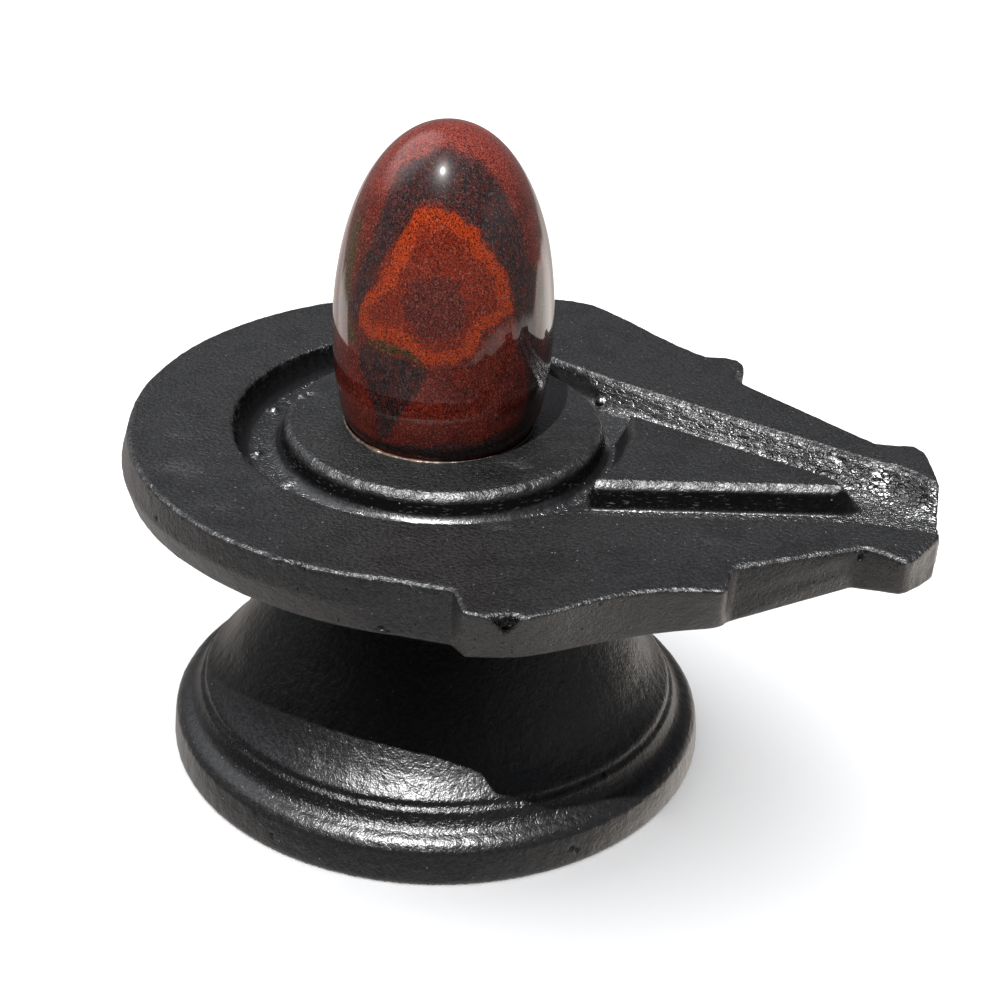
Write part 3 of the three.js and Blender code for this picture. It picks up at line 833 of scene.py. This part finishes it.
def cast_material():
    material, tree, shader, where = new_material("black cast stone")
    x, y, _ = node(tree, "SeparateXYZ", {0: where}).outputs
    along = stretched(tree, where, DRAWN_OUT, -CHANNEL_HEADING)
    noises = {name: texture(tree, where, *settings) for name, settings in CAST_NOISES.items()}
    grain, patchy = noises["grain"], noises["patchy"]
    parts = ("top", "wall", "inner", "lumpy", "bed", "edge", "bell", "ledge", "pedestal", "smudge")
    kinds = {name: share_of(tree, name) for name in parts}
    streaky = texture(tree, stretched(tree, where, STREAK_STRETCH), *STREAKY)
    streak = product(tree, between(tree, streaky, *STREAK_BORDER), kinds["inner"])
    pits = specks(tree, stretched(tree, where, PIT_STRETCH), *PITS)
    kinds.update({
        "grain": grain,
        "streak": product(tree, streak, between(tree, y, *STREAKS_IN_FRONT)),
        "crack": cracks_of_bank(tree, along, kinds["lumpy"], patchy),
        "near bank": product(tree, kinds["lumpy"], between(tree, x, *NEAR_BANK)),
        "bell left": product(tree, kinds["bell"], between(tree, x, *BELL_LEFT)),
        "sparkling edge": product(tree, kinds["edge"], between(tree, patchy, *SPARKLING_EDGE)),
        "pitted wall": product(tree, pits, kinds["wall"]),
    })
    link(tree, cast_colour(tree, where, kinds, noises), shader, "Base Color")
    rough = calculated(tree, "ADD", by_table(tree, kinds, ROUGHNESS), PLAIN_ROUGHNESS)
    link(tree, rough, shader, "Roughness")
    shine = calculated(tree, "ADD", by_table(tree, kinds, SHINE), PLAIN_SHINE)
    link(tree, shine, shader, "Specular IOR Level")

    on_top, everywhere = GRAIN_DEPTH
    height = weighted(tree, [
        (texture(tree, where, *WRINKLES), by_table(tree, kinds, WRINKLE_DEPTH)),
        (texture(tree, along, *CRINKLES), product(tree, kinds["lumpy"], CRINKLE_DEPTH)),
        (kinds["crack"], -CRACK_DEPTH),
        (patchy, product(tree, kinds["pedestal"], PEDESTAL_DEPTH)),
        (grain, calculated(tree, "ADD", product(tree, kinds["top"], on_top), everywhere)),
        (noises["fine"], FINE_DEPTH),
        (kinds["pitted wall"], -PIT_DEPTH),
    ])
    link(tree, bumped(tree, height, 1.0, 1.0), shader, "Normal")
    return material


# ---- the stone's material ----------------------------------------------------------------------

STONE_COLOURS = {
    "red": (0.066, 0.0070, 0.0034, 1),
    "deep red": (0.038, 0.0042, 0.0024, 1),
    "crown": (0.085, 0.0125, 0.0085, 1),
    "olive": (0.026, 0.0125, 0.0032, 1),
    "ember": (0.068, 0.0064, 0.0021, 1),
    "rim": (0.132, 0.0125, 0.0014, 1),
    "maroon": (0.036, 0.0058, 0.0044, 1),
    "dark": (0.0090, 0.0048, 0.0052, 1),
    "dark grain": (0.027, 0.0060, 0.0042, 1),
    "fibre": (0.17, 0.052, 0.038, 1),
    "fibre on dark": (0.068, 0.047, 0.050, 1),
    "black grain": (0.0022, 0.0010, 0.0009, 1),
}
# Noises of the stone: size, detail, roughness.
CLOUDS = (5, 4, 0.6)
BORDER_GRAIN = (1.3, 4, 0.7)
FLECKS = (0.45, 3, 0.65)
DOTS = (0.30, 2, 0.6)
UPRIGHT_STRETCH = (1, 1, 0.5)
CLOUD_BORDER = (0.35, 0.65)
CROWN_BORDER = (134 * MM, 144 * MM)
DARK_GRAIN_BORDER = (0.42, 0.60)
FIBRE_BORDER = (0.50, 0.68)
FIBRE_STRENGTH = 0.36
BRIGHT_DOT_BORDER = (0.46, 0.36)
BRIGHT_DOT_GAMMA = 0.9
BLACK_DOT_BORDER = (0.51, 0.58)
BLACK_DOT_STRENGTH = 0.85
BORDER_GRAIN_REACH = 1.5  # how far the grain shifts a border, as a share of it
SHARP_BORDER = (0.25, 0.75)
STONE_ROUGHNESS = 0.3  # under the coat
STONE_SHINE = 0.04
POLISH = (84 * MM, 100 * MM, 0.15, 1.0)  # the coat's weight grows from the foot to the middle
POLISH_ROUGHNESS = 0.05


def grainy(tree, share, grain):
    """Breaks up the border of a patch of colour with a grain."""
    shifted = weighted(tree, [(grain, BORDER_GRAIN_REACH), (share, 1.0)])
    return between(tree, calculated(tree, "SUBTRACT", shifted, BORDER_GRAIN_REACH / 2), *SHARP_BORDER)


def stone_material():
    material, tree, shader, where = new_material("polished jasper")
    upright = stretched(tree, where, UPRIGHT_STRETCH)
    height = node(tree, "SeparateXYZ", {0: where}).outputs[2]
    cloud = texture(tree, where, *CLOUDS)
    patchy = texture(tree, upright, *BORDER_GRAIN)
    flecks = texture(tree, upright, *FLECKS)
    dots = texture(tree, where, *DOTS)
    paint = STONE_COLOURS
    colour = mixed(tree, between(tree, cloud, *CLOUD_BORDER), paint["red"], paint["deep red"])
    colour = mixed(tree, between(tree, height, *CROWN_BORDER), colour, paint["crown"])
    for name in ("olive", "ember", "rim", "maroon"):
        colour = mixed(tree, grainy(tree, share_of(tree, name), patchy), colour, paint[name])
    in_dark = grainy(tree, share_of(tree, "dark"), patchy)
    dark = mixed(tree, between(tree, patchy, *DARK_GRAIN_BORDER), paint["dark"], paint["dark grain"])
    colour = mixed(tree, in_dark, colour, dark)
    fibre = mixed(tree, in_dark, paint["fibre"], paint["fibre on dark"])
    colour = mixed(tree, product(tree, between(tree, flecks, *FIBRE_BORDER), FIBRE_STRENGTH), colour, fibre)
    bright = node(tree, "Gamma", {"Color": colour, "Gamma": BRIGHT_DOT_GAMMA}).outputs[0]
    colour = mixed(tree, between(tree, dots, *BRIGHT_DOT_BORDER), colour, bright)
    black = product(tree, between(tree, dots, *BLACK_DOT_BORDER), BLACK_DOT_STRENGTH)
    link(tree, mixed(tree, black, colour, paint["black grain"]), shader, "Base Color")
    shader.inputs["Roughness"].default_value = STONE_ROUGHNESS
    shader.inputs["Specular IOR Level"].default_value = STONE_SHINE
    link(tree, between(tree, height, *POLISH), shader, "Coat Weight")
    shader.inputs["Coat Roughness"].default_value = POLISH_ROUGHNESS
    return material


# ---- the adhesive's material -------------------------------------------------------------------

ADHESIVE_DIRTY = (0.005, 0.0038, 0.0034, 1)
ADHESIVE_CLEAN = (0.05, 0.031, 0.02, 1)
ADHESIVE_DIRT = (1.8, 4, 0.7)  # size, detail, roughness of the noise
DIRT_BORDER = (0.62, 0.42)
DIRT_ROUGHNESS = (0.3, 0.7, 0.28, 0.6)
ADHESIVE_BUMP_SIZE = 0.8
ADHESIVE_BUMPS = (0.5, 0.3)  # strength, depth


def adhesive_material():
    material, tree, shader, where = new_material("dried adhesive")
    dirt = texture(tree, where, *ADHESIVE_DIRT)
    clean = product(tree, share_of(tree, "clean"), between(tree, dirt, *DIRT_BORDER))
    link(tree, mixed(tree, clean, ADHESIVE_DIRTY, ADHESIVE_CLEAN), shader, "Base Color")
    link(tree, between(tree, dirt, *DIRT_ROUGHNESS), shader, "Roughness")
    bumps = texture(tree, where, ADHESIVE_BUMP_SIZE)
    link(tree, bumped(tree, bumps, *ADHESIVE_BUMPS), shader, "Normal")
    return material


# ---- camera, floor and backdrop ----------------------------------------------------------------

CAMERA_AT = (112.42, -378.35, 281.96)
CAMERA_HEADING = 0.255  # radians round from +Y
CAMERA_DROP = math.radians(29.2686)
CAMERA_ROLL = math.radians(2.1795)
CAMERA_LENS = 71.205
CAMERA_SENSOR = 36
CAMERA_CLIP = (0.01, 20)  # metres

# The floor and the backdrop are in metres.
FLOOR_REACH = 4.0
FLOOR_COLOURS = ((0.90, 0.90, 0.90, 1), (0.92, 0.92, 0.92, 1))
FLOOR_CLOUDS = 60  # millimetres
FLOOR_ROUGHNESS = 0.9
BACKDROP_START = 2.6
BACKDROP_BEND = 1.4
BACKDROP_TOP = 4.0
BACKDROP_LIFT = 0.001
BACKDROP_SEGMENTS = 96
BACKDROP_STEPS = 12


def camera():
    data = bpy.data.cameras.new("camera")
    data.lens = CAMERA_LENS
    data.sensor_width = CAMERA_SENSOR
    data.clip_start, data.clip_end = CAMERA_CLIP
    made = new_object("camera", data)
    turn = Matrix.Rotation(CAMERA_HEADING, 4, "Z")
    turn = turn @ Matrix.Rotation(math.pi / 2 - CAMERA_DROP, 4, "X")
    turn = turn @ Matrix.Rotation(CAMERA_ROLL, 4, "Z")
    made.matrix_world = Matrix.Translation(Vector(CAMERA_AT) * MM) @ turn
    bpy.context.scene.camera = made


def staged(name, points, faces, material):
    """A piece of the stage, left out of reflections and of the light that bounces onto the part."""
    mesh = bpy.data.meshes.new(name)
    mesh.from_pydata(points, [], faces)
    mesh.materials.append(material)
    made = new_object(name, mesh)
    made.visible_glossy = False
    made.visible_diffuse = False
    return made


def floor(material):
    far = FLOOR_REACH
    corners = [(-far, -far, 0), (far, -far, 0), (far, far, 0), (-far, far, 0)]
    return staged("floor", corners, [(0, 1, 2, 3)], material)


def backdrop(material):
    """Carries the floor on into a pale wall, in a wide curve all round, for the views from low down."""
    around = [2 * math.pi * i / BACKDROP_SEGMENTS for i in range(BACKDROP_SEGMENTS)]
    profile = []
    for step in range(BACKDROP_STEPS + 1):
        turn = math.pi / 2 * step / BACKDROP_STEPS
        out = BACKDROP_START + BACKDROP_BEND * math.sin(turn)
        profile.append((out, BACKDROP_LIFT + BACKDROP_BEND * (1 - math.cos(turn))))
    profile.append((BACKDROP_START + BACKDROP_BEND, BACKDROP_TOP))
    points = [(r * math.cos(a), r * math.sin(a), z) for r, z in profile for a in around]
    faces = []
    for ring in range(len(profile) - 1):
        here, there = ring * BACKDROP_SEGMENTS, (ring + 1) * BACKDROP_SEGMENTS
        for i in range(BACKDROP_SEGMENTS):
            j = (i + 1) % BACKDROP_SEGMENTS
            faces.append((here + i, there + i, there + j, here + j))
    made = staged("backdrop", points, faces, material)
    smooth_shading(made.data)
    made.visible_shadow = False
    return made


def pale_material():
    material, tree, shader, where = new_material("pale floor")
    clouds = texture(tree, where, FLOOR_CLOUDS)
    link(tree, mixed(tree, clouds, *FLOOR_COLOURS), shader, "Base Color")
    shader.inputs["Roughness"].default_value = FLOOR_ROUGHNESS
    return material


# ---- light -------------------------------------------------------------------------------------

KEY_FROM = (-0.022, -0.422, 0.906)
KEY_ENERGY = 14.0
KEY_ANGLE = math.radians(0.8)
OVERHEAD_SIZE = 6.0
OVERHEAD_ENERGY = 150
OVERHEAD_HEIGHT = 1.5

# The surroundings by direction: X to the right, Y away from the camera, Z up.
BRIGHT_CLOUD = (-0.65, 0.15, 0.745)
BRIGHT_GROUND = (0.74, 0.57, -0.36)
SURROUNDING_COLOURS = {
    "skyline": (0.24, 0.235, 0.23, 1),
    "ground": (1.03, 0.985, 0.955, 1),
    "ground behind": (0.80, 0.74, 0.70, 1),
    "ground in front": (0.48, 0.478, 0.50, 1),
    "ground glare": (2.2, 2.04, 1.9, 1),
    "dull ground": (0.45, 0.42, 0.40, 1),
    "left glare": (1.65, 1.54, 1.50, 1),
    "sky": (0.165, 0.172, 0.190, 1),
    "sky at the sides": (0.40, 0.41, 0.435, 1),
    "sky in front": (0.075, 0.076, 0.08, 1),
    "sky overhead": (0.34, 0.35, 0.38, 1),
    "cloud": (1.6, 1.63, 1.7, 1),
}
RAGGED = (4.0, 3.0)  # scale and detail of the noise that frays the borders
# Borders of the direction's X, Y and Z.
IN_FRONT = (-0.42, -0.80)
BEHIND = (0.3, 0.75)
FAR_BEHIND = (0.45, 0.70)
FAR_SIDE = (0.93, 1.02)
SIDE_BY_SIDE = (-0.2, 0.2, 0.35, 1.0)  # the left side gets a smaller share of the side's light
LEFT = (-0.3, -0.6)
FAR_LEFT = (-0.75, -0.84)
LEFT_FRONT = (0.30, 0.22)
LEFT_BACK = (0.22, 0.30)
NEAR_GROUND = (-0.75, -0.50)
LEFT_GLARE_HEIGHT = (-0.50, -0.44)
GROUND_LEVEL = (-0.18, -0.24)
SKY_LEVEL = (0.10, 0.30)
OVERHEAD = (0.80, 0.97)
# Borders of the cosine of the angle from the middle of a bright patch.
GLARE = (0.74, 0.93)
CLOUD = (0.82, 0.96)
DULL = (0.38, 0.62, 0.0, 0.3)
# How far the ground's border is raised or lowered: by its fraying, by side, and behind.
FRAYED = 0.16
LOWERED = 0.16
RAISED_BEHIND = 0.12
SIDE_FRAYED = 0.25


def aimed_at(tree, direction, middle):
    """Cosine of the angle between each direction and the middle of a patch of light."""
    return node(tree, "VectorMath", {0: direction, 1: middle}, operation="DOT_PRODUCT").outputs["Value"]


def ground_level(tree, x, y, z, ragged, uneven):
    """Height above the ground's border, which is frayed and lower in front and on the front left."""
    left_front = product(tree, between(tree, x, *LEFT), between(tree, uneven, *LEFT_FRONT))
    in_front = between(tree, y, *IN_FRONT)
    level = weighted(tree, [(ragged, FRAYED), (in_front, LOWERED), (left_front, LOWERED), (z, 1.0)])
    return calculated(tree, "SUBTRACT", level, between(tree, y, *FAR_BEHIND, 0.0, RAISED_BEHIND))


def surroundings():
    """Outdoor light: warm bright ground, a dark skyline, a dim front and a bright cloud up on the left."""
    world = bpy.data.worlds.new("surroundings")
    bpy.context.scene.world = world
    world.use_nodes = True
    tree = world.node_tree
    background = next(n for n in tree.nodes if n.type == "BACKGROUND")
    direction = node(tree, "TexCoord").outputs["Generated"]
    x, y, z = node(tree, "SeparateXYZ", {0: direction}).outputs
    scale, detail = RAGGED
    ragged = node(tree, "TexNoise", {"Vector": direction, "Scale": scale, "Detail": detail}).outputs["Fac"]
    uneven = weighted(tree, [(ragged, SIDE_FRAYED), (y, 1.0)])
    in_front = between(tree, y, *IN_FRONT)
    paint = SURROUNDING_COLOURS

    ground = mixed(tree, between(tree, y, *BEHIND), paint["ground"], paint["ground behind"])
    near = product(tree, in_front, between(tree, z, *NEAR_GROUND))
    ground = mixed(tree, near, ground, paint["ground in front"])
    glare = between(tree, aimed_at(tree, direction, BRIGHT_GROUND), *GLARE)
    ground = mixed(tree, glare, ground, paint["ground glare"])
    ground = mixed(tree, between(tree, ragged, *DULL), ground, paint["dull ground"])
    left_glare = product(tree, between(tree, x, *FAR_LEFT), between(tree, uneven, *LEFT_BACK))
    left_glare = product(tree, left_glare, between(tree, z, *LEFT_GLARE_HEIGHT))
    ground = mixed(tree, left_glare, ground, paint["left glare"])
    level = ground_level(tree, x, y, z, ragged, uneven)
    low = mixed(tree, between(tree, level, *GROUND_LEVEL), paint["skyline"], ground)

    sideways = weighted(tree, [(ragged, SIDE_FRAYED), (calculated(tree, "ABSOLUTE", x), 1.0)])
    sideways = product(tree, between(tree, sideways, *FAR_SIDE), between(tree, x, *SIDE_BY_SIDE))
    sky = mixed(tree, sideways, paint["sky"], paint["sky at the sides"])
    sky = mixed(tree, in_front, sky, paint["sky in front"])
    sky = mixed(tree, between(tree, z, *OVERHEAD), sky, paint["sky overhead"])
    cloud = between(tree, aimed_at(tree, direction, BRIGHT_CLOUD), *CLOUD)
    sky = mixed(tree, cloud, sky, paint["cloud"])
    light = mixed(tree, between(tree, z, *SKY_LEVEL), low, sky)
    tree.links.new(light, background.inputs["Color"])


def shining_on(light, lit_pieces):
    """Keeps a light to some of the pieces. Everything still casts its shadow."""
    lit = bpy.data.collections.new("lit by " + light.name)
    for piece in lit_pieces:
        lit.objects.link(piece)
    light.light_linking.receiver_collection = lit


def key_light(lit_pieces):
    """A hard light from high in front, a little to the left."""
    data = bpy.data.lights.new("key", "SUN")
    data.energy = KEY_ENERGY
    data.angle = KEY_ANGLE
    made = new_object("key", data)
    made.rotation_euler = Vector(KEY_FROM).to_track_quat("Z", "Y").to_euler()
    shining_on(made, lit_pieces)


def floor_light(lit_pieces):
    """A wide soft light overhead, which gives the floor its pale tone and its soft shadow."""
    data = bpy.data.lights.new("overhead", "AREA")
    data.shape = "DISK"
    data.size = OVERHEAD_SIZE
    data.energy = OVERHEAD_ENERGY
    made = new_object("overhead", data)
    made.location = (0, 0, OVERHEAD_HEIGHT)
    shining_on(made, lit_pieces)


# ---- putting it together -----------------------------------------------------------------------

camera()
surroundings()
PALE = pale_material()
floor_light([floor(PALE), backdrop(PALE)])
PIECES = [
    (cast_base(), "yoni_base", "cast_stone", cast_material()),
    (polished_stone(), "lingam_stone", "jasper", stone_material()),
    (squeezed_adhesive(), "adhesive_bead", "adhesive", adhesive_material()),
]
for piece, stood_for, finish, material in PIECES:
    piece.data.materials.clear()
    piece.data.materials.append(material)
    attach(piece, "root")
    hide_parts(stood_for)
key_light([piece for piece, *_ in PIECES])
bpy.context.scene.view_settings.view_transform = "Standard"
